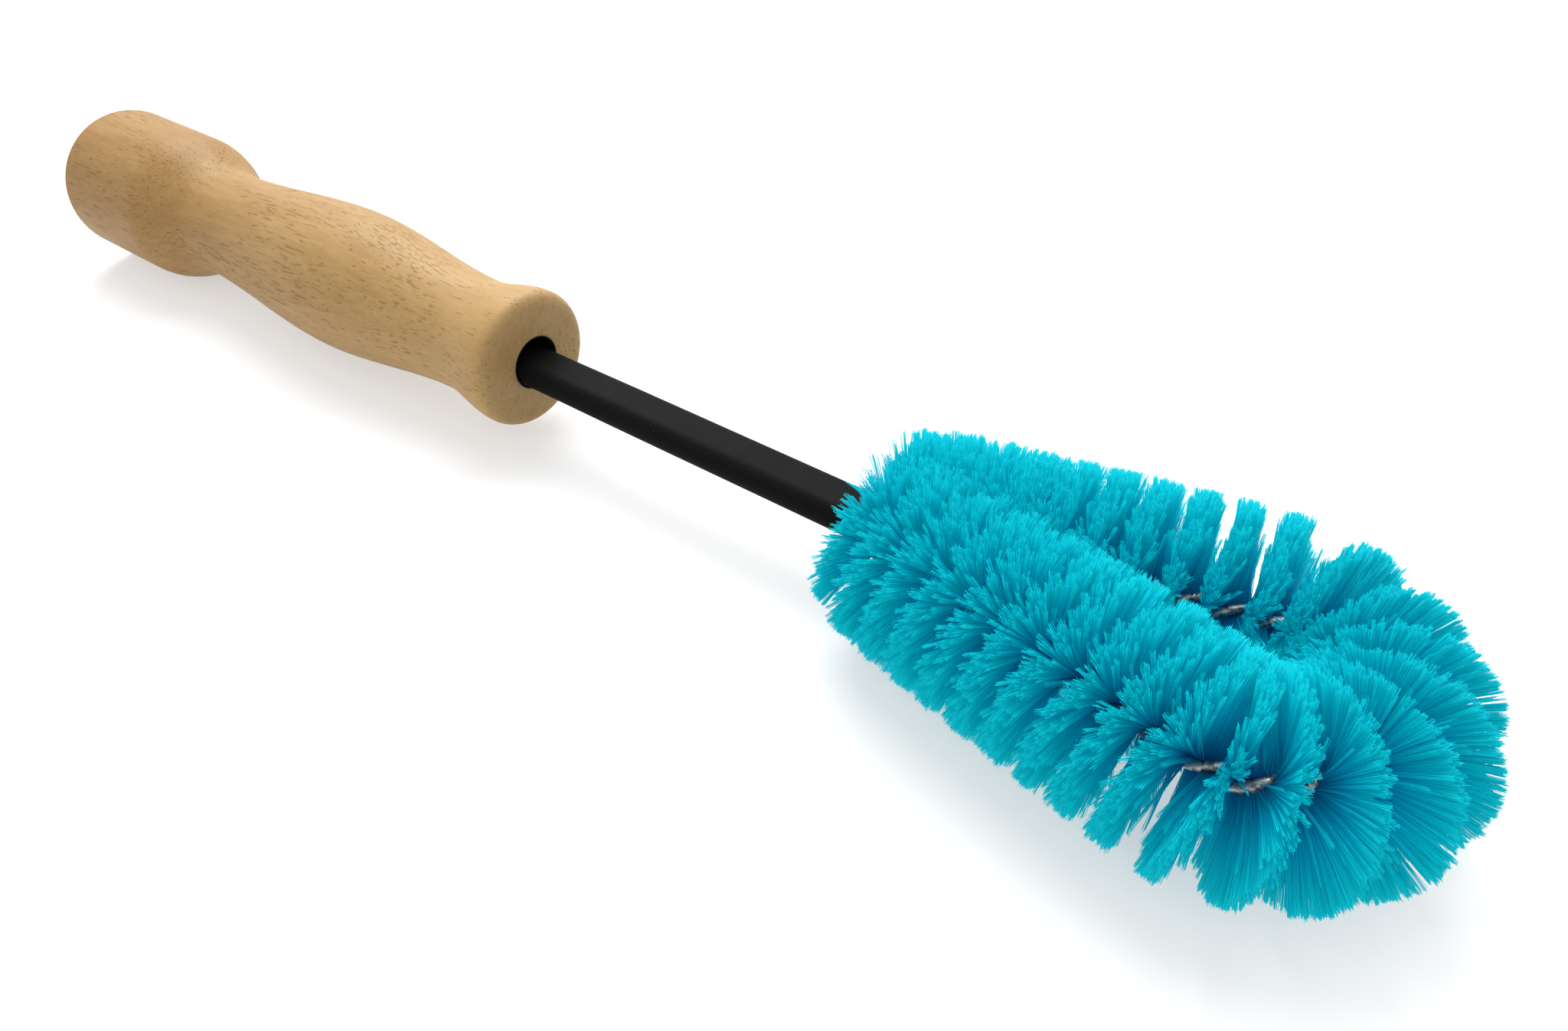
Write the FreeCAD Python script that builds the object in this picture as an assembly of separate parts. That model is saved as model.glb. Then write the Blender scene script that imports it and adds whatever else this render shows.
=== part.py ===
"""Wheel brush with a turned wooden handle and a looped twisted-wire head.

The brush lies on a flat surface, on the rim of its butt and on its bristles.
+X runs from the butt to the tip, +Z is up, and the wire loop lies nearly flat.
"Far" is the leg of the loop on the +Y side and "near" the one on the -Y side.

Lengths are measured along the handle's axis from the butt's flat face. The
head, which is the sleeve, the wires and the bristles, is drawn about that axis
and then lowered as one piece, because its flat stem is glued in low in the
round hole. Last, the whole brush is moved onto its origin.
"""
import FreeCAD
import Part
import math
import os

V = FreeCAD.Vector

# ---- Handle: a turned wooden grip, all in millimetres ----
HANDLE_LENGTH = 151.7
BUTT_RADIUS = 18.1
BUTT_EDGE_ROUND = 1.4
BUTT_CYLINDER_END = 28.0
REAR_NECK = (45.1, 12.9)
BULGE = (93.1, 16.4)
FRONT_NECK = (134.3, 12.6)
FRONT_FLARE_RADIUS = 14.9
FRONT_EDGE_ROUND = 3.2
HOLE_RADIUS = 5.7
HOLE_DEPTH = 46.0
DRILL_POINT_DEPTH = 2.6

# ---- Sleeve: a flat-oval plastic tube over the two wire stems ----
SLEEVE_WIDTH = 10.4
SLEEVE_THICKNESS = 6.0
SLEEVE_ROOT_WIDTH = 9.8
SLEEVE_ROOT_THICKNESS = 5.6
SLEEVE_BORE_WIDTH = 8.9
SLEEVE_BORE_THICKNESS = 4.5
SLEEVE_START = 108.0
SLEEVE_FULL_SIZE_AT = 178.0
SLEEVE_END = 237.0

# ---- Adhesive that fills the hole round the sleeve ----
GLUE_RECESS = 9.0

# ---- Wires: two strands twisted together and folded into a loop ----
STRAND_RADIUS = 1.0
STRAND_OFFSET = 1.1
TWIST_PITCH = 13.28
TWIST_START_DEGREES = 174.0
POINTS_PER_TWIST = 12
STEM_SPACING = 4.4
MOUTH_BEND_RADIUS = 8.0
LOOP_RADIUS = 16.6
LOOP_CENTRE_X = 304.0

# ---- Bristles: soft fins, each about a half turn of the twist long ----
BRISTLE_RADIUS = 18.8
FINS_PER_LEG = 9
FINS_IN_BEND = 9
FIN_GAP = 0.9
FIN_BORE_RADIUS = 2.25
FIN_LEAN_BACK = 4.0
LEG_PARTING = 0.3
BEND_HUB_RADIUS = 1.3
SLEEVE_CLEARANCE = 0.3

# ---- How the head sits in the handle ----
HEAD_DROP = 1.2


def s_curve(start, end):
    """A curve between two (x, radius) points that leaves and arrives level."""
    third = (end[0] - start[0]) / 3.0
    curve = Part.BezierCurve()
    curve.setPoles([
        V(start[0], 0, start[1]),
        V(start[0] + third, 0, start[1]),
        V(end[0] - third, 0, end[1]),
        V(end[0], 0, end[1]),
    ])
    return curve.toShape()


def rounded_corner(centre, radius, from_angle, to_angle):
    """An arc in the outline's plane, with its angles measured from +X."""
    def at(degrees):
        angle = math.radians(degrees)
        return V(centre[0] + radius * math.cos(angle), 0, centre[1] + radius * math.sin(angle))
    middle = (from_angle + to_angle) / 2.0
    return Part.Arc(at(from_angle), at(middle), at(to_angle)).toShape()


def line(start, end):
    """A straight edge between two (x, radius) points of an outline."""
    return Part.makeLine(V(start[0], 0, start[1]), V(end[0], 0, end[1]))


def turned(edges):
    """A solid of revolution about the X axis from a closed outline."""
    face = Part.Face(Part.Wire(edges))
    return face.revolve(V(0, 0, 0), V(1, 0, 0), 360)


def make_handle():
    """The turned grip, with the blind hole for the sleeve drilled in its front."""
    butt_corner = (BUTT_EDGE_ROUND, BUTT_RADIUS - BUTT_EDGE_ROUND)
    shoulder = (BUTT_CYLINDER_END, BUTT_RADIUS)
    flare = (HANDLE_LENGTH - FRONT_EDGE_ROUND, FRONT_FLARE_RADIUS)
    front_corner = (flare[0], flare[1] - FRONT_EDGE_ROUND)
    hole_bottom = HANDLE_LENGTH - HOLE_DEPTH
    return turned([
        line((0, 0), (0, butt_corner[1])),
        rounded_corner(butt_corner, BUTT_EDGE_ROUND, 180, 90),
        line((butt_corner[0], BUTT_RADIUS), shoulder),
        s_curve(shoulder, REAR_NECK),
        s_curve(REAR_NECK, BULGE),
        s_curve(BULGE, FRONT_NECK),
        s_curve(FRONT_NECK, flare),
        rounded_corner(front_corner, FRONT_EDGE_ROUND, 90, 0),
        line((HANDLE_LENGTH, front_corner[1]), (HANDLE_LENGTH, HOLE_RADIUS)),
        line((HANDLE_LENGTH, HOLE_RADIUS), (hole_bottom, HOLE_RADIUS)),
        line((hole_bottom, HOLE_RADIUS), (hole_bottom - DRILL_POINT_DEPTH, 0)),
        line((hole_bottom - DRILL_POINT_DEPTH, 0), (0, 0)),
    ])


def flat_oval(x, width, thickness):
    """A flat-oval wire across the X axis: two straight sides and two round ends."""
    radius = thickness / 2.0
    half_flat = width / 2.0 - radius
    top = Part.makeLine(V(x, half_flat, radius), V(x, -half_flat, radius))
    near = Part.Arc(V(x, -half_flat, radius), V(x, -half_flat - radius, 0), V(x, -half_flat, -radius))
    bottom = Part.makeLine(V(x, -half_flat, -radius), V(x, half_flat, -radius))
    far = Part.Arc(V(x, half_flat, -radius), V(x, half_flat + radius, 0), V(x, half_flat, radius))
    return Part.Wire([top, near.toShape(), bottom, far.toShape()])


def oval_bar(start, end, width, thickness):
    """A straight bar of flat-oval section between two places on the X axis."""
    return Part.Face(flat_oval(start, width, thickness)).extrude(V(end - start, 0, 0))


def sleeve_envelope(clearance):
    """The sleeve's outside, grown all round, without its hollow."""
    grow = 2.0 * clearance
    root = flat_oval(SLEEVE_START - clearance, SLEEVE_ROOT_WIDTH + grow, SLEEVE_ROOT_THICKNESS + grow)
    full = flat_oval(SLEEVE_FULL_SIZE_AT, SLEEVE_WIDTH + grow, SLEEVE_THICKNESS + grow)
    tapered = Part.makeLoft([root, full], True, True)
    straight = oval_bar(SLEEVE_FULL_SIZE_AT, SLEEVE_END + clearance, SLEEVE_WIDTH + grow, SLEEVE_THICKNESS + grow)
    return tapered.fuse(straight).removeSplitter()


def make_sleeve():
    """The plastic tube that covers both stems from the hole to the first bristles."""
    bore = oval_bar(SLEEVE_START - 1.0, SLEEVE_END + 1.0, SLEEVE_BORE_WIDTH, SLEEVE_BORE_THICKNESS)
    return sleeve_envelope(0.0).cut(bore)


def make_glue():
    """The adhesive round the sleeve and below its end, set back from the hole's mouth."""
    start = HANDLE_LENGTH - HOLE_DEPTH
    length = HOLE_DEPTH - GLUE_RECESS
    plug = Part.makeCylinder(HOLE_RADIUS, length, V(start, 0, 0), V(1, 0, 0))
    return plug.cut(lowered(sleeve_envelope(0.0)))


class WirePath:
    """The centre line of the twisted pair: stem, leg, bend, leg and stem, in the z=0 plane."""

    def __init__(self):
        stem_y = STEM_SPACING / 2.0
        reach = LOOP_CENTRE_X - SLEEVE_END
        rise = stem_y + MOUTH_BEND_RADIUS
        self.leg_angle = (math.asin((MOUTH_BEND_RADIUS + LOOP_RADIUS) / math.hypot(reach, rise))
                          - math.atan2(rise, reach))
        self.stem_length = SLEEVE_END - SLEEVE_START
        self.mouth_length = MOUTH_BEND_RADIUS * self.leg_angle
        mouth_x = SLEEVE_END + MOUTH_BEND_RADIUS * math.sin(self.leg_angle)
        mouth_y = stem_y + MOUTH_BEND_RADIUS * (1.0 - math.cos(self.leg_angle))
        self.leg_start = V(mouth_x, mouth_y, 0)
        self.leg_direction = V(math.cos(self.leg_angle), math.sin(self.leg_angle), 0)
        leg_end_x = LOOP_CENTRE_X - LOOP_RADIUS * math.sin(self.leg_angle)
        self.leg_length = (leg_end_x - mouth_x) / self.leg_direction.x
        self.bend_angle = math.pi + 2.0 * self.leg_angle
        self.half_length = (self.stem_length + self.mouth_length + self.leg_length
                            + LOOP_RADIUS * self.bend_angle / 2.0)

    def frame_at(self, distance):
        """The point and the sideways direction at a distance from the far stem's end."""
        mirrored = distance > self.half_length
        if mirrored:
            distance = 2.0 * self.half_length - distance
        point, heading = self._on_far_half(distance)
        side = V(-math.sin(heading), math.cos(heading), 0)
        if mirrored:
            point = V(point.x, -point.y, 0)
            side = V(side.x, -side.y, 0)
        return point, side

    def _on_far_half(self, distance):
        """The point and heading on the far half of the loop, up to its tip."""
        if distance <= self.stem_length:
            return V(SLEEVE_START + distance, STEM_SPACING / 2.0, 0), 0.0
        distance -= self.stem_length
        if distance <= self.mouth_length:
            heading = distance / MOUTH_BEND_RADIUS
            x = SLEEVE_END + MOUTH_BEND_RADIUS * math.sin(heading)
            y = STEM_SPACING / 2.0 + MOUTH_BEND_RADIUS * (1.0 - math.cos(heading))
            return V(x, y, 0), heading
        distance -= self.mouth_length
        if distance <= self.leg_length:
            return self.leg_start + self.leg_direction * distance, self.leg_angle
        heading = self.leg_angle - (distance - self.leg_length) / LOOP_RADIUS
        x = LOOP_CENTRE_X - LOOP_RADIUS * math.sin(heading)
        return V(x, LOOP_RADIUS * math.cos(heading), 0), heading


def strand_curve(path, start_degrees):
    """The centre line of one strand: a left-handed helix about the path of the pair."""
    total = 2.0 * path.half_length
    steps = int(round(total / TWIST_PITCH * POINTS_PER_TWIST))
    points = []
    for step in range(steps + 1):
        distance = total * step / steps
        centre, side = path.frame_at(distance)
        twist = math.radians(start_degrees - 360.0 * distance / TWIST_PITCH)
        sideways = side * (STRAND_OFFSET * math.cos(twist))
        upwards = V(0, 0, STRAND_OFFSET * math.sin(twist))
        points.append(centre + sideways + upwards)
    curve = Part.BSplineCurve()
    curve.interpolate(points)
    return curve


def make_strand(path, start_degrees):
    """One wire of the pair, whole from one stem's end to the other's, built turn by turn."""
    curve = strand_curve(path, start_degrees)
    turns = int(round(2.0 * path.half_length / TWIST_PITCH))
    first = curve.FirstParameter
    step = (curve.LastParameter - first) / turns
    spans = []
    for turn in range(turns):
        start = first + turn * step
        section = Part.Wire(Part.makeCircle(STRAND_RADIUS, curve.value(start), curve.tangent(start)[0]))
        spine = Part.Wire(curve.toShape(start, start + step))
        spans.append(spine.makePipeShell([section], True, True))
    return spans[0].multiFuse(spans[1:])


def keep_far_side(solid):
    """The part of a leg's fin on its own side of the parting between the legs."""
    size = 4.0 * BRISTLE_RADIUS
    box = Part.makeBox(2.0 * size, size, 2.0 * size, V(SLEEVE_END - size, LEG_PARTING / 2.0, -size))
    return solid.common(box)


def make_leg_fin(path, index):
    """A far-leg fin: a slab across the leg, where the first one leans back over the sleeve."""
    spacing = path.leg_length / FINS_PER_LEG
    start = index * spacing + FIN_GAP / 2.0
    end = (index + 1) * spacing - FIN_GAP / 2.0
    lean = FIN_LEAN_BACK if index == 0 else 0.0
    slab = turned([
        line((start, FIN_BORE_RADIUS), (start - lean, BRISTLE_RADIUS)),
        line((start - lean, BRISTLE_RADIUS), (end, BRISTLE_RADIUS)),
        line((end, BRISTLE_RADIUS), (end, FIN_BORE_RADIUS)),
        line((end, FIN_BORE_RADIUS), (start, FIN_BORE_RADIUS)),
    ])
    slab.rotate(V(0, 0, 0), V(0, 0, 1), math.degrees(path.leg_angle))
    slab.translate(path.leg_start)
    fin = keep_far_side(slab)
    if index == 0:
        fin = fin.cut(sleeve_envelope(SLEEVE_CLEARANCE))
    return fin


def make_bend_fin(path, index):
    """A fin of the bend: a wedge turned about the loop's centre."""
    spacing = math.degrees(path.bend_angle) / FINS_IN_BEND
    gap = math.degrees(FIN_GAP / LOOP_RADIUS)
    disc = Part.Face(Part.Wire(Part.makeCircle(BRISTLE_RADIUS, V(LOOP_RADIUS, 0, 0), V(0, 1, 0))))
    bore = Part.Face(Part.Wire(Part.makeCircle(FIN_BORE_RADIUS, V(LOOP_RADIUS, 0, 0), V(0, 1, 0))))
    reach = LOOP_RADIUS + 2.0 * BRISTLE_RADIUS
    outer = Part.Face(Part.makePolygon([
        V(BEND_HUB_RADIUS, 0, -reach),
        V(reach, 0, -reach),
        V(reach, 0, reach),
        V(BEND_HUB_RADIUS, 0, reach),
        V(BEND_HUB_RADIUS, 0, -reach),
    ]))
    section = disc.cut(bore).common(outer).Faces[0]
    wedge = section.revolve(V(0, 0, 0), V(0, 0, 1), spacing - gap)
    first_angle = math.degrees(path.bend_angle) / 2.0 - (index + 1) * spacing + gap / 2.0
    wedge.rotate(V(0, 0, 0), V(0, 0, 1), first_angle)
    wedge.translate(V(LOOP_CENTRE_X, 0, 0))
    return wedge


def mirrored(solid):
    """The same fin on the near leg."""
    return solid.mirror(V(0, 0, 0), V(0, 1, 0))


def lowered(solid):
    """A piece of the head where it sits in the handle, below the handle's axis."""
    return solid.translated(V(0, 0, -HEAD_DROP))


def pressed_flat(solid):
    """A fin without what would reach below the surface that the brush lies on."""
    reach = 4.0 * HANDLE_LENGTH
    above = Part.makeBox(reach, reach, reach, V(-HANDLE_LENGTH, -reach / 2.0, -BUTT_RADIUS))
    return solid.common(above)


def make_brush():
    """Every piece of the brush, by name, before it is moved onto its origin."""
    path = WirePath()
    pieces = {
        "handle": make_handle(),
        "glue_plug": make_glue(),
        "stem_sleeve": lowered(make_sleeve()),
        "wire_strand_a": lowered(make_strand(path, TWIST_START_DEGREES)),
        "wire_strand_b": lowered(make_strand(path, TWIST_START_DEGREES + 180.0)),
    }
    for index in range(FINS_PER_LEG):
        fin = make_leg_fin(path, index)
        pieces["bristles_far_%02d" % (index + 1)] = pressed_flat(lowered(fin))
        pieces["bristles_near_%02d" % (index + 1)] = pressed_flat(lowered(mirrored(fin)))
    for index in range(FINS_IN_BEND):
        fin = make_bend_fin(path, index)
        pieces["bristles_bend_%02d" % (index + 1)] = pressed_flat(lowered(fin))
    return pieces


def onto_origin(pieces):
    """Move the brush so that its box stands with the middle of its base at the origin."""
    box = Part.makeCompound(list(pieces.values())).optimalBoundingBox(False, False)
    shift = V(-(box.XMin + box.XMax) / 2.0, -(box.YMin + box.YMax) / 2.0, BUTT_RADIUS)
    print("box %.3f x %.3f x %.3f mm" % (box.XLength, box.YLength, box.ZLength))
    print("butt centre at x %.3f, y %.3f, z %.3f mm" % (shift.x, shift.y, shift.z))
    for solid in pieces.values():
        solid.translate(shift)


def main():
    os.makedirs("parts", exist_ok=True)
    pieces = make_brush()
    onto_origin(pieces)
    for name, solid in sorted(pieces.items()):
        solids = solid.Solids
        print("%-18s solids %d valid %s volume %.1f" % (name, len(solids), solid.isValid(), solid.Volume))
        shape = solids[0] if len(solids) == 1 else solid
        shape.exportStep("parts/%s.step" % name)


main()
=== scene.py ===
"""Wheel brush: a turned wooden grip, a flat sleeved stem and a looped twisted-wire head.

The handle, the adhesive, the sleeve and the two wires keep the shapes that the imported
model gives them and are dressed here. Each soft fin of the head gives way to its own
bristles. Lengths are in metres, +X runs from the butt to the tip and +Z is up.
"""

from __future__ import annotations

import logging
import math
from dataclasses import dataclass, field
from enum import Enum
from typing import Any, Sequence, Union

import bpy
import numpy as np
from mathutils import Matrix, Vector


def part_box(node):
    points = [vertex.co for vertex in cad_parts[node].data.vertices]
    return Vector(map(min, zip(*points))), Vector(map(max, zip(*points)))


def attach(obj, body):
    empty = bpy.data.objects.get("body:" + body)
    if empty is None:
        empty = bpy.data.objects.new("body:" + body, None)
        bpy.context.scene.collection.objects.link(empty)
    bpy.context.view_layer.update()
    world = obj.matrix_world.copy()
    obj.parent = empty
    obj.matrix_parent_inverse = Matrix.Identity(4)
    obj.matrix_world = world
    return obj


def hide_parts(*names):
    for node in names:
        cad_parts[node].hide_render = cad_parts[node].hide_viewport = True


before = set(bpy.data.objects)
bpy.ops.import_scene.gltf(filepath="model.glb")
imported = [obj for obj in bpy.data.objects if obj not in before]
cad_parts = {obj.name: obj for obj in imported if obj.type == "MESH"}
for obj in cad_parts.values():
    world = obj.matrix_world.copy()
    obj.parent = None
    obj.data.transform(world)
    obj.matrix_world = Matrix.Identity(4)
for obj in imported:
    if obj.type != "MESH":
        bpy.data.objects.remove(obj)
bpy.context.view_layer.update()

MM = 0.001
Colour = tuple[float, float, float, float]
Stops = Sequence[tuple[float, Colour]]
log = logging.getLogger("wheel_brush")


class Stretch(Enum):
    """The three stretches of the bristled wire, in the order that the wire runs through them."""

    FAR = "far"
    BEND = "bend"
    NEAR = "near"


# ---------------------------------------------------------------------------
# Shader building
# ---------------------------------------------------------------------------


class Signal:
    """A number that a node tree works out, on which Python's arithmetic adds Math nodes."""

    def __init__(self, recipe: "Recipe", socket: bpy.types.NodeSocket) -> None:
        """Wrap an output socket of the recipe's tree."""
        self.recipe = recipe
        self.socket = socket

    def __add__(self, other: "Number") -> "Signal":
        """The sum."""
        return self.recipe.maths("ADD", self, other)

    def __sub__(self, other: "Number") -> "Signal":
        """The difference."""
        return self.recipe.maths("SUBTRACT", self, other)

    def __rsub__(self, other: "Number") -> "Signal":
        """The difference, from a plain number."""
        return self.recipe.maths("SUBTRACT", other, self)

    def __mul__(self, other: "Number") -> "Signal":
        """The product."""
        return self.recipe.maths("MULTIPLY", self, other)

    __radd__ = __add__
    __rmul__ = __mul__


Number = Union[Signal, float]


class Recipe:
    """One material's node tree, with a Principled shader and short ways to feed it."""

    def __init__(self, name: str) -> None:
        """Start a material with nothing but a Principled shader on its output.

        Args:
            name: The material's name.
        """
        self.material = bpy.data.materials.new(name)
        self.material.use_nodes = True
        self.tree = self.material.node_tree
        self.tree.nodes.clear()
        self.shader = self.node("ShaderNodeBsdfPrincipled")
        self.node("ShaderNodeOutputMaterial", inputs={"Surface": self.shader.outputs["BSDF"]})

    def node(
        self,
        kind: str,
        settings: dict[str, Any] | None = None,
        inputs: dict[Any, Any] | None = None,
    ) -> bpy.types.Node:
        """Add a node.

        Args:
            kind: The node's type name.
            settings: Its properties, set before its inputs.
            inputs: A value, socket or Signal for each input, by name or number.

        Returns:
            The new node.
        """
        made = self.tree.nodes.new(kind)
        for key, value in (settings or {}).items():
            setattr(made, key, value)
        for key, value in (inputs or {}).items():
            self.feed(made.inputs[key], value)
        return made

    def feed(self, target: bpy.types.NodeSocket, value: Any) -> None:
        """Link a socket or Signal to an input, or set a plain value on it.

        Args:
            target: The input.
            value: What it gets.
        """
        if isinstance(value, Signal):
            value = value.socket
        if isinstance(value, bpy.types.NodeSocket):
            self.tree.links.new(value, target)
        else:
            target.default_value = value

    def maths(self, operation: str, *values: Number) -> Signal:
        """Add a Math node.

        Args:
            operation: Its operation.
            values: Its inputs in order.

        Returns:
            Its result.
        """
        made = self.node("ShaderNodeMath", {"operation": operation}, dict(enumerate(values)))
        return Signal(self, made.outputs[0])

    def smooth_step(self, value: Number, low: float, high: float) -> Signal:
        """A smooth rise from 0 at low to 1 at high.

        Args:
            value: What is measured.
            low: Where the rise starts.
            high: Where it ends.

        Returns:
            The risen share, from 0 to 1.
        """
        settings = {"interpolation_type": "SMOOTHSTEP"}
        inputs = {"Value": value, "From Min": low, "From Max": high}
        return Signal(self, self.node("ShaderNodeMapRange", settings, inputs).outputs[0])

    def place(self, scale: Sequence[float], turn: Sequence[float] = (0, 0, 0)) -> bpy.types.NodeSocket:
        """Object coordinates, turned and stretched for a pattern.

        Args:
            scale: How many pattern units go into a metre along each axis.
            turn: Turns about each axis, in radians.

        Returns:
            The vector.
        """
        own = self.node("ShaderNodeTexCoord").outputs["Object"]
        turned = self.node("ShaderNodeMapping", inputs={"Vector": own, "Rotation": turn})
        inputs = {"Vector": turned.outputs[0], "Scale": scale}
        return self.node("ShaderNodeMapping", inputs=inputs).outputs[0]

    def noise(self, where: bpy.types.NodeSocket, detail: float = 3.0, rough: float = 0.5) -> Signal:
        """A cloudy pattern from 0 to 1.

        Args:
            where: Its coordinates, one unit to a cloud.
            detail: How many finer layers it has.
            rough: How strong the finer layers are.

        Returns:
            The pattern.
        """
        inputs = {"Vector": where, "Scale": 1.0, "Detail": detail, "Roughness": rough}
        return Signal(self, self.node("ShaderNodeTexNoise", inputs=inputs).outputs["Fac"])

    def ramp(self, value: Number, stops: Stops) -> bpy.types.NodeSocket:
        """A colour read off a scale.

        Args:
            value: The place on the scale, from 0 to 1.
            stops: Places and their colours, in order.

        Returns:
            The colour.
        """
        made = self.node("ShaderNodeValToRGB", inputs={"Fac": value})
        scale = made.color_ramp.elements
        while len(scale) < len(stops):
            scale.new(1.0)
        for element, (place, colour) in zip(scale, stops):
            element.position = place
            element.color = colour
        return made.outputs["Color"]

    def mix(self, share: Number, first: Any, second: Any, blend: str = "MIX") -> bpy.types.NodeSocket:
        """Mix two colours.

        Args:
            share: How much of the second, from 0 to 1.
            first: A colour or colour socket.
            second: A colour or colour socket.
            blend: How the second is laid on the first.

        Returns:
            The mixed colour.
        """
        settings = {"data_type": "RGBA", "blend_type": blend, "clamp_factor": True}
        return self.node("ShaderNodeMix", settings, {0: share, 6: first, 7: second}).outputs[2]

    def grey(self, value: Number) -> bpy.types.NodeSocket:
        """A number as a grey, for tinting a colour by it."""
        inputs = {"Red": value, "Green": value, "Blue": value}
        return self.node("ShaderNodeCombineColor", inputs=inputs).outputs[0]

    def bump(self, height: Number, depth: float) -> bpy.types.NodeSocket:
        """A normal tilted by a height pattern.

        Args:
            height: The pattern, from 0 to 1.
            depth: The relief in metres between 0 and 1.

        Returns:
            The normal.
        """
        inputs = {"Strength": 1.0, "Distance": depth, "Height": height}
        return self.node("ShaderNodeBump", inputs=inputs).outputs[0]

    def finish(self, **sockets: Any) -> bpy.types.Material:
        """Feed the Principled shader.

        Args:
            sockets: Values or links by socket name, with underscores for spaces.

        Returns:
            The finished material.
        """
        for name, value in sockets.items():
            self.feed(self.shader.inputs[name.replace("_", " ")], value)
        return self.material


# ---------------------------------------------------------------------------
# Finishes
# ---------------------------------------------------------------------------


@dataclass(frozen=True)
class TurnedWood:
    """Pale hardwood, turned along its grain and sealed with a thin satin coat."""

    pale: Colour = (0.395, 0.247, 0.093, 1.0)
    warm: Colour = (0.285, 0.155, 0.045, 1.0)
    pore: Colour = (0.150, 0.070, 0.018, 1.0)
    pale_end: float = -0.02
    warm_end: float = -0.15
    # The front face darkens between these two places: partly end grain, partly painted shade.
    front_face_from: float = -0.0205
    front_face_to: float = -0.0183
    grain_lean: tuple[float, float, float] = (0.5, 0.035, 0.06)
    # Painted shade: the wall of the hole is painted near black within its rim.
    hole: Colour = (0.010, 0.008, 0.006, 1.0)
    hole_shade_from: float = -0.08
    axis_height: float = 0.0181
    hole_radius: float = 5.7 * MM
    hole_rim: float = 6.1 * MM

    def build(self) -> bpy.types.Material:
        """Lay a slow change of tone, streaks and short dark pores along the grain.

        The front face is end grain, darkened partly as end grain and partly as painted shade
        where it turns away from the key light, and the wall of its hole is painted near black
        as shade in the hole, within a radius about the axis.

        Returns:
            The material.
        """
        mix = Recipe("turned_wood")
        lean = self.grain_lean
        parts = mix.node("ShaderNodeSeparateXYZ", inputs={0: mix.place((1, 1, 1))})
        along = Signal(mix, parts.outputs[0])
        figure = mix.noise(mix.place((22, 90, 90), lean), 4.0, 0.6)
        streaks = mix.noise(mix.place((60, 620, 620), lean), 3.0, 0.6)
        fibre = mix.noise(mix.place((160, 2200, 2200), lean), 2.0, 0.6)
        crowd = mix.smooth_step(mix.noise(mix.place((30, 110, 110), lean), 2.0), 0.38, 0.62)
        grains = mix.noise(mix.place((260, 2300, 2300), lean), 1.0, 0.4)
        pores = mix.smooth_step(grains + crowd * 0.09, 0.66, 0.75)
        rings = mix.noise(mix.place((60, 900, 240), lean), 2.0, 0.5)
        drawn = mix.smooth_step(along, self.pale_end, self.warm_end)
        warmth = drawn * 0.55 + figure * 1.1 + streaks * 0.9 - 0.98
        base = mix.mix(mix.smooth_step(warmth, -0.20, 0.80), self.pale, self.warm)
        # Painted shade on the front face, which turns away from the key light, with end grain's darker
        # tone and rings.
        end_grain_and_shade = mix.smooth_step(along, self.front_face_from, self.front_face_to)
        shade = 0.84 + fibre * 0.30 - end_grain_and_shade * (0.34 - rings * 0.22)
        toned = mix.mix(1.0, base, mix.grey(shade), "MULTIPLY")
        grained = mix.mix(pores * 0.45, toned, self.pore)
        # Painted shade in the hole: its wall inside the rim is painted near black by the mouth, fading
        # deeper in.
        side, up = Signal(mix, parts.outputs[1]), Signal(mix, parts.outputs[2]) - self.axis_height
        beyond = mix.smooth_step(side * side + up * up, self.hole_radius**2, self.hole_rim**2)
        in_front = mix.smooth_step(along, self.hole_shade_from, self.front_face_from)
        colour = mix.mix(in_front * (1 - beyond), grained, self.hole)
        return mix.finish(
            Base_Color=colour,
            Roughness=0.50 + fibre * 0.10 + pores * 0.15,
            Normal=mix.bump(fibre * 0.35 - pores, 0.00005),
            Specular_IOR_Level=0.28,
            Coat_Weight=0.05,
            Coat_Roughness=0.35,
        )


@dataclass(frozen=True)
class SleevePlastic:
    """Matte black tube with faint draw lines and a little dust."""

    body: Colour = (0.0040, 0.0040, 0.0042, 1.0)
    dust: Colour = (0.035, 0.034, 0.032, 1.0)

    def build(self) -> bpy.types.Material:
        """Draw lines along the tube under a scatter of dust.

        Returns:
            The material.
        """
        mix = Recipe("sleeve_plastic")
        lines = mix.noise(mix.place((14, 1400, 1400)), 2.0, 0.5)
        cloud = mix.noise(mix.place((220, 220, 220)), 4.0, 0.6)
        specks = mix.smooth_step(mix.noise(mix.place((1500, 1500, 1500)), 1.0), 0.735, 0.80)
        return mix.finish(
            Base_Color=mix.mix(specks * 0.55 + cloud * 0.07, self.body, self.dust),
            Roughness=0.48 + cloud * 0.16,
            Normal=mix.bump(lines * 0.6 + cloud * 0.4, 0.00004),
            Specular_IOR_Level=0.035,
        )


@dataclass(frozen=True)
class GalvanisedWire:
    """Bright zinc-coated wire, a little dulled and scratched."""

    bright: Colour = (0.58, 0.57, 0.52, 1.0)
    dull: Colour = (0.13, 0.14, 0.15, 1.0)

    def build(self) -> bpy.types.Material:
        """Blotches of dull zinc over bright metal.

        Returns:
            The material.
        """
        mix = Recipe("galvanised_wire")
        blotch = mix.noise(mix.place((900, 900, 900)), 4.0, 0.6)
        dulled = mix.smooth_step(blotch, 0.42, 0.62)
        return mix.finish(
            Base_Color=mix.mix(dulled, self.bright, self.dull),
            Metallic=0.85,
            Roughness=0.28 + blotch * 0.25,
            Normal=mix.bump(blotch, 0.00003),
        )


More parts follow.
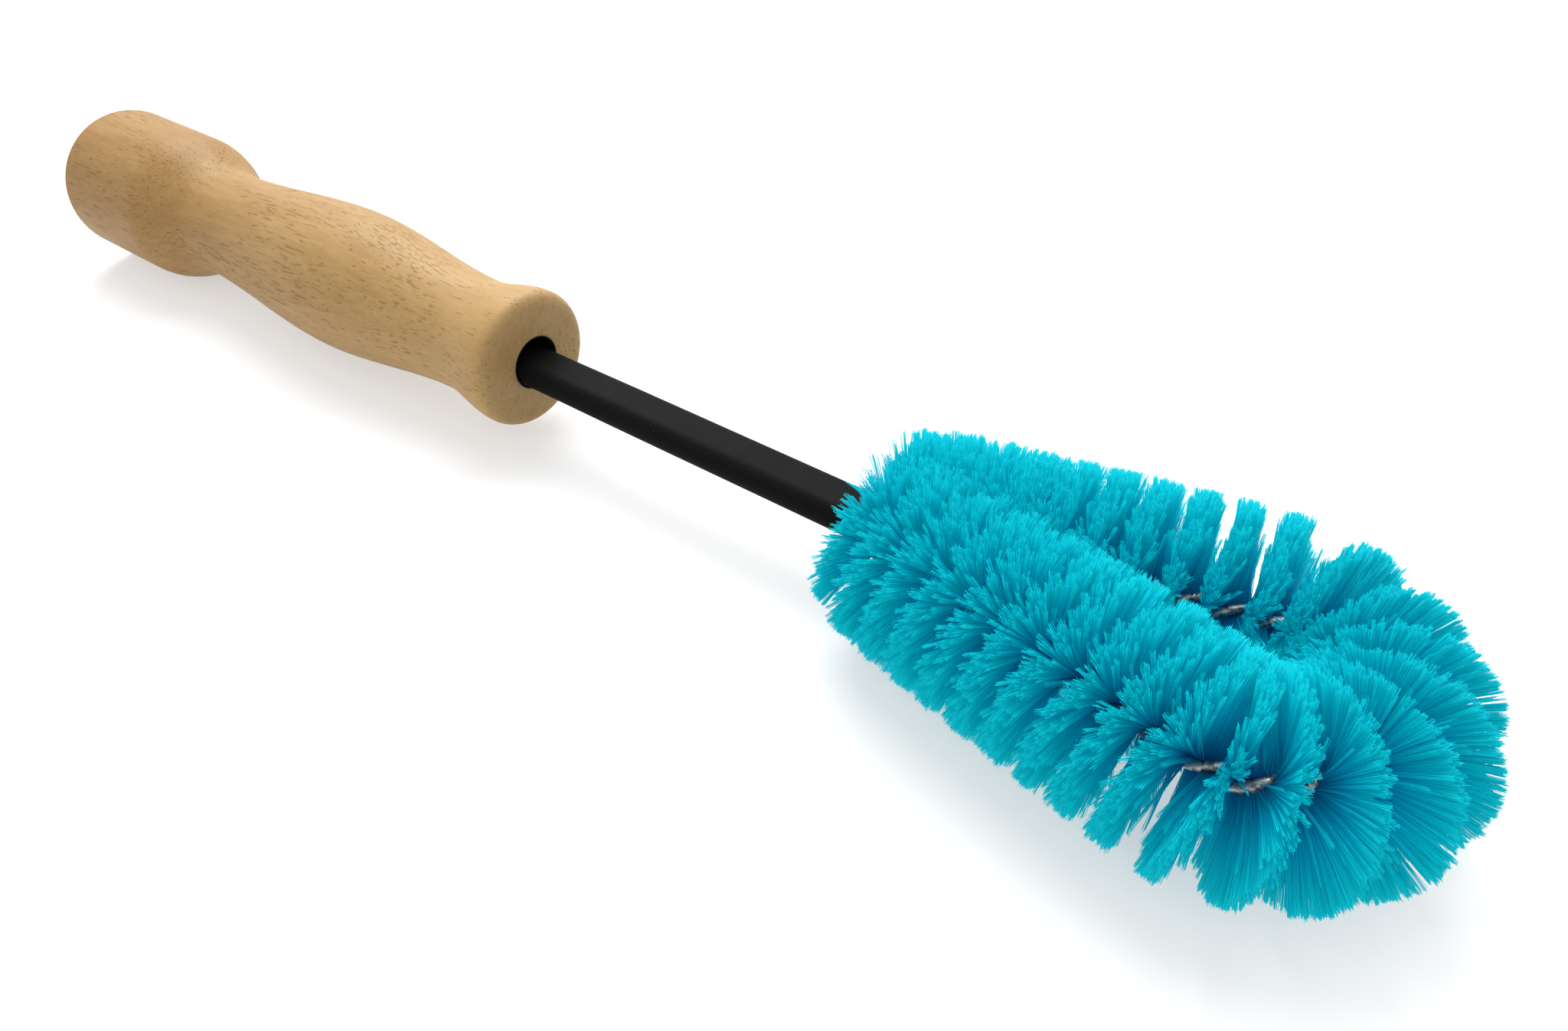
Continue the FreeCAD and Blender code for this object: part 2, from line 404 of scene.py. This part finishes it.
@dataclass(frozen=True)
class CuredGlue:
    """Dark adhesive, lumpy where it set."""

    thin: Colour = (0.030, 0.022, 0.014, 1.0)
    thick: Colour = (0.010, 0.008, 0.006, 1.0)

    def build(self) -> bpy.types.Material:
        """Cloudy dark brown with a lumpy surface.

        Returns:
            The material.
        """
        mix = Recipe("cured_glue")
        lumps = mix.noise(mix.place((420, 420, 420)), 3.0)
        return mix.finish(
            Base_Color=mix.mix(lumps, self.thin, self.thick),
            Roughness=0.30 + lumps * 0.2,
            Normal=mix.bump(lumps, 0.0003),
        )


@dataclass(frozen=True)
class DyedFibre:
    """Turquoise plastic filament, paler at its cut tip; its dark navy near the root is painted shade.

    A faint glow of its own colour stands for the light that filaments pass to each other.
    """

    strips: str
    columns: int
    # Painted shade: the dark navy at the root, deep among the bristles by the wire.
    root: Colour = (0.000, 0.045, 0.22, 1.0)
    body: Colour = (0.000, 0.34, 0.52, 1.0)
    tip: Colour = (0.000, 0.49, 0.60, 1.0)
    cut: Colour = (0.003, 0.54, 0.63, 1.0)
    inner_light: float = 0.25

    def build(self) -> bpy.types.Material:
        """Grade the colour along each filament and vary it from one to the next.

        The map's second coordinate is the way from root to tip, and its first is the
        filament's own column, of which a hash gives a brightness.

        Returns:
            The material.
        """
        mix = Recipe("dyed_fibre")
        strip = mix.node("ShaderNodeUVMap", {"uv_map": self.strips}).outputs[0]
        parts = mix.node("ShaderNodeSeparateXYZ", inputs={0: strip})
        column = mix.maths("FLOOR", Signal(mix, parts.outputs[0]) * float(self.columns))
        hashed = mix.node("ShaderNodeTexWhiteNoise", {"noise_dimensions": "1D"}, {"W": column})
        shade = Signal(mix, hashed.outputs["Value"])
        along = Signal(mix, parts.outputs[1])
        # The root stop's dark navy is painted shade deep among the bristles.
        stops = ((0.0, self.root), (0.45, self.body), (0.86, self.tip), (1.0, self.cut))
        graded = mix.ramp(along, stops)
        colour = mix.mix(1.0, graded, mix.grey(0.88 + shade * 0.18), "MULTIPLY")
        return mix.finish(
            Base_Color=colour,
            Roughness=0.50 + shade * 0.10,
            Specular_IOR_Level=0.07,
            Emission_Color=colour,
            Emission_Strength=self.inner_light,
        )


@dataclass(frozen=True)
class StudioFloor:
    """Plain pale light table: a matte sweep lit a little from below."""

    shade: Colour = (0.46, 0.46, 0.46, 1.0)
    glow: float = 0.50

    def build(self) -> bpy.types.Material:
        """A barely mottled matte surface.

        Returns:
            The material.
        """
        mix = Recipe("studio_floor")
        mottle = mix.noise(mix.place((3, 3, 3)), 2.0)
        colour = mix.mix(1.0, self.shade, mix.grey(0.995 + mottle * 0.01), "MULTIPLY")
        return mix.finish(
            Base_Color=colour,
            Roughness=0.9,
            Specular_IOR_Level=0.1,
            Emission_Color=(1.0, 1.0, 1.0, 1.0),
            Emission_Strength=self.glow,
        )


# ---------------------------------------------------------------------------
# The bristled head
# ---------------------------------------------------------------------------


@dataclass(frozen=True)
class WirePlace:
    """Where points of the wire are, and which way the wire runs there.

    The side direction points out of the loop. Each row is one point.
    """

    point: np.ndarray
    along: np.ndarray
    side: np.ndarray


@dataclass(frozen=True)
class WireLoop:
    """The centre line of the twisted pair: stem, leg, bend, leg and stem, in a level plane."""

    stem_start: float
    stem_end: float
    height: float
    loop_centre: float
    stem_spacing: float = 4.4 * MM
    mouth_radius: float = 8.0 * MM
    loop_radius: float = 16.6 * MM
    twist_pitch: float = 13.28 * MM
    twist_start: float = math.radians(174.0)

    @property
    def leg_angle(self) -> float:
        """The angle between each leg and the X axis, from the tangent common to mouth and loop."""
        reach = self.loop_centre - self.stem_end
        rise = self.stem_spacing / 2 + self.mouth_radius
        both = self.mouth_radius + self.loop_radius
        return math.asin(both / math.hypot(reach, rise)) - math.atan2(rise, reach)

    @property
    def leg_foot(self) -> tuple[float, float]:
        """Where the far leg begins, past its small bend at the sleeve's mouth."""
        x = self.stem_end + self.mouth_radius * math.sin(self.leg_angle)
        y = self.stem_spacing / 2 + self.mouth_radius * (1 - math.cos(self.leg_angle))
        return x, y

    @property
    def bristled_from(self) -> float:
        """The distance along the wire at which the bristles begin."""
        return self.stem_end - self.stem_start + self.mouth_radius * self.leg_angle

    @property
    def leg_length(self) -> float:
        """The length of each straight leg."""
        top = self.loop_centre - self.loop_radius * math.sin(self.leg_angle)
        return (top - self.leg_foot[0]) / math.cos(self.leg_angle)

    @property
    def bend_length(self) -> float:
        """The length of the wire round the loop's end."""
        return self.loop_radius * (math.pi + 2 * self.leg_angle)

    def stretch_ends(self, stretch: Stretch) -> tuple[float, float]:
        """Where a stretch begins and ends.

        Args:
            stretch: The leg or the bend.

        Returns:
            Two distances along the wire.
        """
        bend_from = self.bristled_from + self.leg_length
        bend_to = bend_from + self.bend_length
        return {
            Stretch.FAR: (self.bristled_from, bend_from),
            Stretch.BEND: (bend_from, bend_to),
            Stretch.NEAR: (bend_to, bend_to + self.leg_length),
        }[stretch]

    def follow(self, distance: np.ndarray) -> WirePlace:
        """Place points on the bristled part of the wire.

        The near half mirrors the far half. On a leg a point is the leg's foot plus the
        distance times the leg's direction; round the bend its heading falls steadily, and
        it is the loop's centre plus the radius times the direction to its left.

        Args:
            distance: Distances along the wire, from the far stem's end.

        Returns:
            Their places.
        """
        half = self.bristled_from + self.leg_length + self.bend_length / 2
        back = distance > half
        folded = np.where(back, 2 * half - distance, distance) - self.bristled_from
        on_bend = folded > self.leg_length
        turned = np.maximum(folded - self.leg_length, 0) / self.loop_radius
        heading = self.leg_angle - turned
        foot_x, foot_y = self.leg_foot
        x = np.where(
            on_bend,
            self.loop_centre - self.loop_radius * np.sin(heading),
            foot_x + folded * math.cos(self.leg_angle),
        )
        y = np.where(
            on_bend,
            self.loop_radius * np.cos(heading),
            foot_y + folded * math.sin(self.leg_angle),
        )
        mirror = np.where(back, -1.0, 1.0)
        level = np.zeros_like(x)
        return WirePlace(
            np.stack([x, mirror * y, level + self.height], -1),
            np.stack([mirror * np.cos(heading), np.sin(heading), level], -1),
            np.stack([-np.sin(heading), mirror * np.cos(heading), level], -1),
        )

    def twist(self, distance: np.ndarray) -> np.ndarray:
        """The angle of the first strand about the pair, from the side towards up."""
        return self.twist_start - 2 * math.pi * distance / self.twist_pitch


@dataclass
class BristleHead:
    """The bristles of the head, one piece to each half turn of the twisted wire.

    A bristle is held between the strands, so on the legs it stands at a right angle to
    the line that joins them, to one side or the other. The twist turns that direction
    steadily along the wire, which gathers the bristles into a winding fin. Round the bend
    the fins run ahead of the twist by a lead that the strands don't follow. Bristles
    leave in tufts.
    """

    loop: WireLoop
    fins_per_leg: int = 9
    fins_in_bend: int = 9
    bristles_per_fin: int = 6800
    bristles_per_tuft: int = 10

    # One bristle: a soft filament that narrows to its tip.
    radius: float = 0.120 * MM
    tip_taper: float = 0.35
    held_depth: float = 0.5 * MM
    root_scatter: float = 0.35 * MM

    # The fins on the legs, and how they differ round the bend.
    reach: float = 18.8 * MM
    reach_in_bend: float = 17.5 * MM
    spread: float = 1.08 * MM
    spread_in_bend: float = 0.62 * MM
    bend_lead: float = math.radians(50.0)
    bend_drift: float = 1.0 * MM
    bend_inset: float = 6.3 * MM
    bend_blend: float = 2.5 * MM

    # Offsets of the tufts, and of the bristles in a tuft.
    tuft_fan: float = math.radians(2.8)
    bristle_fan: float = math.radians(0.65)
    tuft_trim: float = 0.036
    bristle_trim: float = 0.010
    splay_limit: float = 2.0
    bristle_splay: float = 0.16
    bristle_stray: float = 0.03
    misplaced_share: float = 0.08
    misplaced_fan: float = math.radians(38.0)
    misplaced_length: float = 0.80
    partings_per_fin: int = 9
    parting: float = math.radians(3.3)
    parting_reach: float = math.radians(5.0)

    # Where the legs are close. The pairs are the mean and the swing of a cosine that is
    # least for bristles that point out of the loop and most for those that point into it.
    crowded_over: float = 29.0 * MM
    crowded_spread: float = 3.0 * MM
    crowded_fan: float = math.radians(26.0)
    crowded_trim: float = 0.14
    crowded_sides: tuple[float, float] = (0.53, 0.46)
    lean_back: float = 10.0 * MM
    lean_fades_over: float = 8.0 * MM
    leaning_sides: tuple[float, float] = (0.6, 0.4)
    leaning_rarity: int = 5
    tidy_start: float = 4.0 * MM
    short_start: float = 0.15

    # The floor that the lowest bristles rest on.
    floor_clearance: float = 0.15 * MM
    floor_slide: float = 0.4

    # The map that gives each bristle its column, from root to tip.
    strips: str = "OFBake"
    columns: int = 128
    strip_half: float = 0.28
    cap_level: float = 0.985
    seed: int = 494
    finish: bpy.types.Material = field(init=False)

    def __post_init__(self) -> None:
        """Make the fibre's material."""
        self.finish = DyedFibre(self.strips, self.columns).build()

    def build(self) -> list[bpy.types.Object]:
        """Make every fin's bristles.

        Returns:
            The pieces.
        """
        pieces = []
        for stretch in Stretch:
            count = self.fins_in_bend if stretch is Stretch.BEND else self.fins_per_leg
            edges = np.linspace(*self.loop.stretch_ends(stretch), count + 1)
            for index in range(count):
                number = count - index if stretch is Stretch.NEAR else index + 1
                name = f"{stretch.value}_{number:02d}"
                pieces.append(self.make_fin(name, edges[index], edges[index + 1]))
        return pieces

    def make_fin(self, name: str, start: float, end: float) -> bpy.types.Object:
        """Make the bristles that leave one half turn of the wire.

        Args:
            name: The fin's name in the model, after "bristles_".
            start: Where the half turn starts along the wire.
            end: Where it ends.

        Returns:
            The piece.
        """
        random = np.random.default_rng([self.seed, int(round(start / MM * 100))])
        lines = self.lay_bristles(random, start, end)
        piece = self.tubes(f"fibres_{name}", lines, random)
        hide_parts(f"bristles_{name}")
        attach(piece, "root")
        return piece

    def lay_bristles(self, random: np.random.Generator, start: float, end: float) -> np.ndarray:
        """Work out where the bristles begin and end.

        Each tuft has a place on the wire, one of the two sides of the pair, and small
        offsets in direction, splay and length. A bristle adds its own smaller ones. Its
        tip is the tuft's place plus the length times its direction, plus the splay, and
        round the bend the drift, along the wire. Roots are scattered along the wire, so a
        tuft narrows to its tip. A few tufts are shorter and stand far out of line, between
        the fins. Where the two legs are close their bristles push each other about, so the
        offsets grow there.

        Args:
            random: The source of the scatter.
            start: Where the half turn starts along the wire.
            end: Where it ends.

        Returns:
            Root and tip of each bristle.
        """
        tufts = self.bristles_per_fin // self.bristles_per_tuft
        count = tufts * self.bristles_per_tuft

        def scatter(by_tuft: np.ndarray, by_bristle: float) -> np.ndarray:
            """Give every bristle its tuft's value and a small offset of its own."""
            return np.repeat(by_tuft, self.bristles_per_tuft) + random.normal(0, by_bristle, count)

        distance = scatter(random.uniform(start, end, tufts), 0)
        facing = scatter(random.integers(0, 2, tufts) * math.pi, 0)
        misplaced = random.uniform(0, 1, tufts) < self.misplaced_share
        fan_width = np.where(misplaced, self.misplaced_fan, self.tuft_fan)
        fan = scatter(random.normal(0, 1, tufts) * fan_width, self.bristle_fan)
        splay = np.clip(random.normal(0, 1, tufts), -self.splay_limit, self.splay_limit)
        splay = scatter(splay, self.bristle_splay)
        trimmed = 1 - np.abs(random.normal(0, self.tuft_trim, tufts))
        length = scatter(trimmed * np.where(misplaced, self.misplaced_length, 1), self.bristle_trim)
        pushed = scatter(random.normal(0, 1, tufts), 0)
        stray = scatter(random.uniform(0, 1, tufts), self.bristle_stray)
        root = np.clip(distance + random.normal(0, self.root_scatter, count), start, end)

        place = self.loop.follow(distance)
        inwards = self.inwards(distance)
        bent = self.share_of_bend(distance)
        angle = self.loop.twist(distance) + math.pi / 2 + facing + bent * self.bend_lead
        crowd = self.crowding(distance) * self.by_side(self.crowded_sides, angle)
        angle = angle + self.part(random, angle) + fan + crowd * self.crowded_fan * pushed
        upwards = np.array([0.0, 0.0, 1.0])
        direction = np.cos(angle)[:, None] * place.side + np.sin(angle)[:, None] * upwards
        spread = self.spread + bent * (self.spread_in_bend - self.spread) + crowd * self.crowded_spread
        tidiness = np.exp(-inwards / self.tidy_start)
        shift = splay * spread * (1 - tidiness) + bent * self.bend_drift
        reach = self.reach + bent * (self.reach_in_bend - self.reach)
        cut = (1 - self.crowded_trim * crowd * stray) * (1 - self.short_start * tidiness)
        tip = place.point + direction * (reach * length * cut)[:, None] + place.along * shift[:, None]
        loose = np.clip(stray, 0, 1) ** self.leaning_rarity * self.by_side(self.leaning_sides, angle)
        tip[:, 0] -= self.lean(distance) * loose
        held_at = self.loop.follow(root).point + direction * self.held_depth
        return np.stack([held_at, self.rest_on_floor(tip)], 1)

    def part(self, random: np.random.Generator, angle: np.ndarray) -> np.ndarray:
        """Open narrow partings in a fin, where its bristles have stuck to either side.

        Each parting pushes the bristles on either side of it away by the same angle,
        fading with their distance from it as an exponential.

        Args:
            random: The source of the partings' places.
            angle: The direction of each bristle about the wire.

        Returns:
            The change in each direction.
        """
        middles = random.uniform(0, 2 * math.pi, self.partings_per_fin)
        away = np.mod(angle[:, None] - middles + math.pi, 2 * math.pi) - math.pi
        push = np.sign(away) * np.exp(-np.abs(away) / self.parting_reach)
        return self.parting * push.sum(1)

    def share_of_bend(self, distance: np.ndarray) -> np.ndarray:
        """How much a place belongs to the bend: 0 on the legs, 1 round the loop's end.

        It is the product of two logistic steps, one a little inside each end of the bend.

        Args:
            distance: Distances along the wire.

        Returns:
            The shares, from 0 to 1.
        """
        begin, finish = self.loop.stretch_ends(Stretch.BEND)
        entering = (distance - begin - self.bend_inset) / self.bend_blend
        leaving = (finish - self.bend_inset - distance) / self.bend_blend
        return 1 / (1 + np.exp(-entering)) / (1 + np.exp(-leaving))

    def inwards(self, distance: np.ndarray) -> np.ndarray:
        """How far a place is from the nearer end of the bristled wire.

        Args:
            distance: Distances along the wire from the far stem's end.

        Returns:
            Distances along the wire from where its bristles begin or end.
        """
        begin = self.loop.stretch_ends(Stretch.FAR)[0]
        finish = self.loop.stretch_ends(Stretch.NEAR)[1]
        return np.minimum(distance - begin, finish - distance)

    def by_side(self, sides: tuple[float, float], angle: np.ndarray) -> np.ndarray:
        """A weight by direction: the mean less the swing times the angle's cosine."""
        return sides[0] - sides[1] * np.cos(angle)

    def crowding(self, distance: np.ndarray) -> np.ndarray:
        """How much the other leg's bristles are in the way, fading as a bell curve."""
        return np.exp(-((self.inwards(distance) / self.crowded_over) ** 2))

    def lean(self, distance: np.ndarray) -> np.ndarray:
        """The furthest that tips lean towards the handle, fading as a bell curve."""
        return self.lean_back * np.exp(-((self.inwards(distance) / self.lean_fades_over) ** 2))

    def rest_on_floor(self, tip: np.ndarray) -> np.ndarray:
        """Lift tips that would be under the floor onto it, and slide them outwards a little.

        Args:
            tip: The tips' places.

        Returns:
            The places where they rest.
        """
        low = np.maximum(self.floor_clearance - tip[:, 2], 0)
        rested = tip.copy()
        rested[:, 2] += low
        rested[:, 1] += self.floor_slide * low * np.sign(tip[:, 1])
        return rested

    def tubes(self, name: str, lines: np.ndarray, random: np.random.Generator) -> bpy.types.Object:
        """Build closed three-sided tubes from roots to tips.

        A ring's corner k is its centre plus the radius times the direction at k thirds of
        a turn. A ring at each end, a point beyond the last one and a face across the first
        close each tube. Its strip of the map is a column's width, with the root at 0 and
        the tip at 1.

        Args:
            name: The piece's name.
            lines: Root and tip of each bristle.
            random: The source of each tube's turn and column.

        Returns:
            The piece.
        """
        count = len(lines)
        run = lines[:, 1] - lines[:, 0]
        run /= np.linalg.norm(run, axis=1, keepdims=True)
        off_axis = np.array([0.31, 0.17, 0.93])
        first = np.cross(run, off_axis)
        first /= np.linalg.norm(first, axis=1, keepdims=True)
        second = np.cross(run, first)
        corners = random.uniform(0, 2 * math.pi, (count, 1)) + np.arange(3) * (2 * math.pi / 3)
        cosine, sine = np.cos(corners)[..., None], np.sin(corners)[..., None]
        spoke = cosine * first[:, None] + sine * second[:, None]
        taper = np.array([1.0, self.tip_taper])
        ring = lines[:, :, None] + self.radius * taper[None, :, None, None] * spoke[:, None]
        point = lines[:, 1] + run * (self.tip_taper * self.radius)
        vertices = np.concatenate([ring.reshape(count, 6, 3), point[:, None]], 1)

        sides = []
        for corner in range(3):
            low, low_next = corner, (corner + 1) % 3
            sides += [(low, low_next, low_next + 3), (low, low_next + 3, low + 3)]
        caps = [(3 + corner, 3 + (corner + 1) % 3, 6) for corner in range(3)]
        triangles = np.array(sides + caps + [(0, 2, 1)])
        corner_of = np.array([0, 1, 2, 0, 1, 2, 1])
        level_of = np.array([0.0] * 3 + [self.cap_level] * 3 + [1.0])
        loops = triangles.reshape(-1)
        column = random.integers(0, self.columns, count)
        across = column[:, None] + 0.5 + self.strip_half * (corner_of[loops] - 1)[None]
        strip = np.stack([across / self.columns, np.broadcast_to(level_of[loops], across.shape)], -1)
        indices = loops[None] + len(corner_of) * np.arange(count)[:, None]
        return triangle_mesh(name, vertices.reshape(-1, 3), indices, strip, self)


def triangle_mesh(
    name: str, vertices: np.ndarray, indices: np.ndarray, strips: np.ndarray, head: BristleHead
) -> bpy.types.Object:
    """Put whole arrays of triangles into a smooth-shaded mesh object.

    Args:
        name: The object's name.
        vertices: One row for each vertex.
        indices: Vertex numbers, three for each triangle, in any shape.
        strips: A map coordinate for each triangle corner, in the same order.
        head: The head whose map name and finish the object gets.

    Returns:
        The object, linked to the scene.
    """
    mesh = bpy.data.meshes.new(name)
    corners = indices.size
    mesh.vertices.add(len(vertices))
    mesh.vertices.foreach_set("co", vertices.astype(np.float32).ravel())
    mesh.loops.add(corners)
    mesh.loops.foreach_set("vertex_index", indices.astype(np.int32).ravel())
    mesh.polygons.add(corners // 3)
    mesh.polygons.foreach_set("loop_start", np.arange(0, corners, 3, dtype=np.int32))
    mesh.polygons.foreach_set("use_smooth", np.ones(corners // 3, dtype=bool))
    layer = mesh.uv_layers.new(name=head.strips)
    layer.uv.foreach_set("vector", strips.astype(np.float32).ravel())
    mesh.update(calc_edges=True)
    mesh.validate()
    mesh.materials.append(head.finish)
    piece = bpy.data.objects.new(name, mesh)
    bpy.context.scene.collection.objects.link(piece)
    return piece


# ---------------------------------------------------------------------------
# The carried-over pieces
# ---------------------------------------------------------------------------


def dress(node: str, finish: bpy.types.Material) -> None:
    """Give a carried-over piece its finish.

    Args:
        node: The piece's name in the model.
        finish: Its material.
    """
    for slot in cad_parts[node].material_slots:
        slot.material = finish


@dataclass
class Handle:
    """The turned grip and the adhesive in its hole."""

    grip: str = "handle"
    adhesive: str = "glue_plug"

    def build(self) -> list[str]:
        """Dress both.

        Returns:
            The names of the pieces.
        """
        dress(self.grip, TurnedWood().build())
        dress(self.adhesive, CuredGlue().build())
        return [self.grip, self.adhesive]


@dataclass
class Stem:
    """The flat sleeve and the two twisted wires inside it, which also carry the head."""

    sleeve: str = "stem_sleeve"
    strands: tuple[str, str] = ("wire_strand_a", "wire_strand_b")
    pair_radius: float = 2.1 * MM

    def build(self) -> list[str]:
        """Dress the sleeve and the wires.

        Returns:
            The names of the pieces.
        """
        dress(self.sleeve, SleevePlastic().build())
        zinc = GalvanisedWire().build()
        for strand in self.strands:
            dress(strand, zinc)
        return [self.sleeve, *self.strands]

    def loop(self) -> WireLoop:
        """Place the wires' centre line by the boxes of the sleeve and the wires.

        Returns:
            The centre line.
        """
        low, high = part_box(self.sleeve)
        tip = max(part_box(strand)[1].x for strand in self.strands)
        return WireLoop(
            stem_start=low.x,
            stem_end=high.x,
            height=(low.z + high.z) / 2,
            loop_centre=tip - self.pair_radius - WireLoop.loop_radius,
        )


# ---------------------------------------------------------------------------
# The studio
# ---------------------------------------------------------------------------


@dataclass
class Studio:
    """A pale floor, soft lights and the camera."""

    floor_half: float = 2.5
    floor_cells: int = 8
    key_place: tuple[float, float, float] = (-0.60, 0.75, 1.30)
    key_size: float = 1.3
    key_power: float = 38.0
    surround: float = 0.92
    sensor_width: float = 36.0
    lens: float = 26.37
    clip_start: float = 0.01
    eye_from_butt: tuple[float, float, float] = (0.31337, -0.1337, 0.1511)
    view: tuple[float, float, float] = (-0.4459, 0.6118, -0.6534)

    def build(self) -> None:
        """Set up the whole studio."""
        self.make_floor()
        self.make_lights()
        self.make_camera()

    def make_floor(self) -> None:
        """Lay the floor under the brush: a level grid of square cells at height 0."""
        cells, row = self.floor_cells, self.floor_cells + 1
        side = np.linspace(-self.floor_half, self.floor_half, row)
        grid = np.stack(np.meshgrid(side, side, indexing="ij"), -1).reshape(-1, 2)
        vertices = np.column_stack([grid, np.zeros(len(grid))])
        first = (np.arange(cells)[:, None] * row + np.arange(cells)).reshape(-1, 1)
        faces = first + np.array([0, row, row + 1, 1])
        mesh = bpy.data.meshes.new("studio_floor")
        mesh.from_pydata(vertices.tolist(), [], faces.tolist())
        mesh.materials.append(StudioFloor().build())
        floor = bpy.data.objects.new("studio_floor", mesh)
        bpy.context.scene.collection.objects.link(floor)

    def make_lights(self) -> None:
        """Light the brush from above and behind it, in a pale surround."""
        self.hang_key_light()
        world = bpy.data.worlds.new("surround")
        bpy.context.scene.world = world
        world.use_nodes = True
        background = world.node_tree.nodes["Background"]
        background.inputs["Color"].default_value = (1.0, 1.0, 1.0, 1.0)
        background.inputs["Strength"].default_value = self.surround
        bpy.context.scene.view_settings.view_transform = "Standard"

    def hang_key_light(self) -> None:
        """Hang a square soft light above the far side, and turn it to the brush."""
        data = bpy.data.lights.new("key", "AREA")
        data.shape = "SQUARE"
        data.size = self.key_size
        data.energy = self.key_power
        light = bpy.data.objects.new("key", data)
        light.location = self.key_place
        light.rotation_euler = (-Vector(self.key_place)).to_track_quat("-Z", "Y").to_euler()
        bpy.context.scene.collection.objects.link(light)

    def make_camera(self) -> None:
        """Stand the camera close to the head and aim it back along the brush."""
        data = bpy.data.cameras.new("camera")
        data.sensor_width = self.sensor_width
        data.lens = self.lens
        data.clip_start = self.clip_start
        camera = bpy.data.objects.new("camera", data)
        butt = Vector((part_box("handle")[0].x, 0.0, 0.0))
        camera.location = butt + Vector(self.eye_from_butt)
        camera.rotation_euler = Vector(self.view).to_track_quat("-Z", "Y").to_euler()
        bpy.context.scene.collection.objects.link(camera)
        bpy.context.scene.camera = camera


def main() -> None:
    """Build the brush and its studio in order, and report each piece."""
    logging.basicConfig(level=logging.INFO, format="%(name)s: %(message)s")
    stem = Stem()
    for name in Handle().build() + stem.build():
        log.info("dressed %s", name)
    for piece in BristleHead(stem.loop()).build():
        log.info("built %s with %d triangles", piece.name, len(piece.data.polygons))
    Studio().build()


if __name__ == "__main__":
    main()
